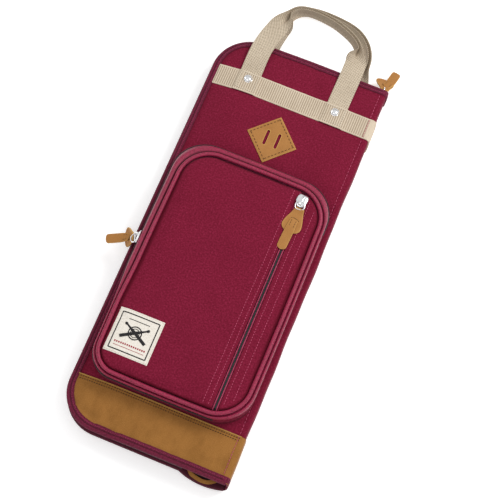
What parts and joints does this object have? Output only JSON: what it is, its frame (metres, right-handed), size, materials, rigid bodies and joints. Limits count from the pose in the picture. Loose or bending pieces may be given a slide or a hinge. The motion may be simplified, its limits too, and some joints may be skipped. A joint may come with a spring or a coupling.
{
  "type": "drum stick bag",
  "caption": "Flat padded zip bag for drum sticks, with a front pocket that opens like a book, webbing handles, a suede base and leather zip pulls.",
  "frame": {"origin": "middle of the back panel's outer face, on the surface the closed bag lies on", "axes": "+Z out of the front, +Y along the bag towards the handles, +X towards the spine"},
  "size_m": [0.2518, 0.5762, 0.0754],
  "materials": {
    "canvas": "matt waxed canvas",
    "foam": "closed-cell padding",
    "lining": "smooth nylon lining",
    "binding": "woven tape",
    "piping": "smooth coated piping",
    "zip_tape": "woven zip tape",
    "zip_coil": "nylon coil",
    "webbing": "cotton webbing",
    "suede": "napped suede",
    "leather": "smooth tan leather",
    "label": "woven label",
    "nickel": "polished nickel plating"
  },
  "bodies": {
    "back_half": {"back_cover": "canvas", "back_foam": "foam", "back_lining": "lining", "back_binding": "binding", "back_zip_tape": "zip_tape", "back_zip_teeth": "zip_coil", "back_suede": "suede", "back_webbing": "webbing", "rivet_back_left": "nickel", "rivet_back_right": "nickel", "stick_sleeve": "lining"},
    "spine": {"spine_cover": "canvas", "spine_suede": "suede", "spine_webbing": "webbing", "spine_binding_top": "binding", "spine_binding_bottom": "binding"},
    "front_half": {"front_cover": "canvas", "front_foam": "foam", "front_lining": "lining", "front_binding": "binding", "front_zip_tape": "zip_tape", "front_zip_teeth": "zip_coil", "front_suede": "suede", "front_webbing": "webbing", "rivet_front_left": "nickel", "rivet_front_right": "nickel", "lash_patch": "leather", "inner_pocket": "lining", "pocket_rear_gusset": "canvas", "pocket_rear_zip": "zip_coil"},
    "pocket_lid": {"pocket_panel": "canvas", "pocket_piping": "piping", "pocket_front_gusset": "canvas", "pocket_front_zip": "zip_coil", "woven_label": "label", "quick_zip_left": "zip_coil", "quick_zip_right": "zip_coil", "quick_pouch": "lining"},
    "front_handle": {"front_handle": "webbing"},
    "back_handle": {"back_handle": "webbing"},
    "main_slider": {"main_slider": "nickel"},
    "main_pull": {"main_pull_link": "nickel", "main_pull_leather": "leather"},
    "pocket_slider": {"pocket_slider": "nickel"},
    "pocket_pull": {"pocket_pull_link": "nickel", "pocket_pull_leather": "leather"},
    "quick_slider": {"quick_slider": "nickel"},
    "quick_pull": {"quick_pull_link": "nickel", "quick_pull_leather": "leather"}
  },
  "joints": [
    {"name": "spine_fold", "type": "hinge", "parent": "back_half", "child": "spine", "pos_m": [0.101, 0, 0], "axis": [0, 1, 0], "range_deg": [0, 26]},
    {"name": "front_fold", "type": "hinge", "parent": "spine", "child": "front_half", "pos_m": [0.101, 0, 0.038], "axis": [0, 1, 0], "range_deg": [0, 154]},
    {"name": "pocket_lid_fold", "type": "hinge", "parent": "front_half", "child": "pocket_lid", "pos_m": [0.093, 0, 0.053], "axis": [0, -1, 0], "range_deg": [-120, 0]},
    {"name": "front_handle_fold", "type": "hinge", "parent": "front_half", "child": "front_handle", "pos_m": [0, 0.206, 0.0404], "axis": [-1, 0, 0], "range_deg": [-150, 0]},
    {"name": "back_handle_fold", "type": "hinge", "parent": "back_half", "child": "back_handle", "pos_m": [0, 0.25, 0.001], "axis": [1, 0, 0], "range_deg": [0, 22]},
    {"name": "main_slider_travel", "type": "slide", "parent": "back_half", "child": "main_slider", "axis": [1, 0, 0], "range_m": [-0.14, 0]},
    {"name": "main_pull_swing", "type": "hinge", "parent": "main_slider", "child": "main_pull", "pos_m": [0.095, 0.2541, 0.019], "axis": [0, 0, 1], "range_deg": [-45, 45]},
    {"name": "pocket_slider_travel", "type": "slide", "parent": "front_half", "child": "pocket_slider", "axis": [0, 1, 0], "range_m": [-0.1, 0.08]},
    {"name": "pocket_pull_swing", "type": "hinge", "parent": "pocket_slider", "child": "pocket_pull", "pos_m": [-0.0958, -0.0395, 0.053], "axis": [0, 0, -1], "range_deg": [-25, 25]},
    {"name": "quick_slider_travel", "type": "slide", "parent": "pocket_lid", "child": "quick_slider", "axis": [0, 1, 0], "range_m": [-0.245, 0]},
    {"name": "quick_pull_lift", "type": "hinge", "parent": "quick_slider", "child": "quick_pull", "pos_m": [0.059, 0.0645, 0.0728], "axis": [-1, 0, 0], "range_deg": [0, 165]}
  ],
  "couplings": [
    {"joint": "spine_fold", "follows": "front_fold", "ratio": 0.16883}
  ]
}
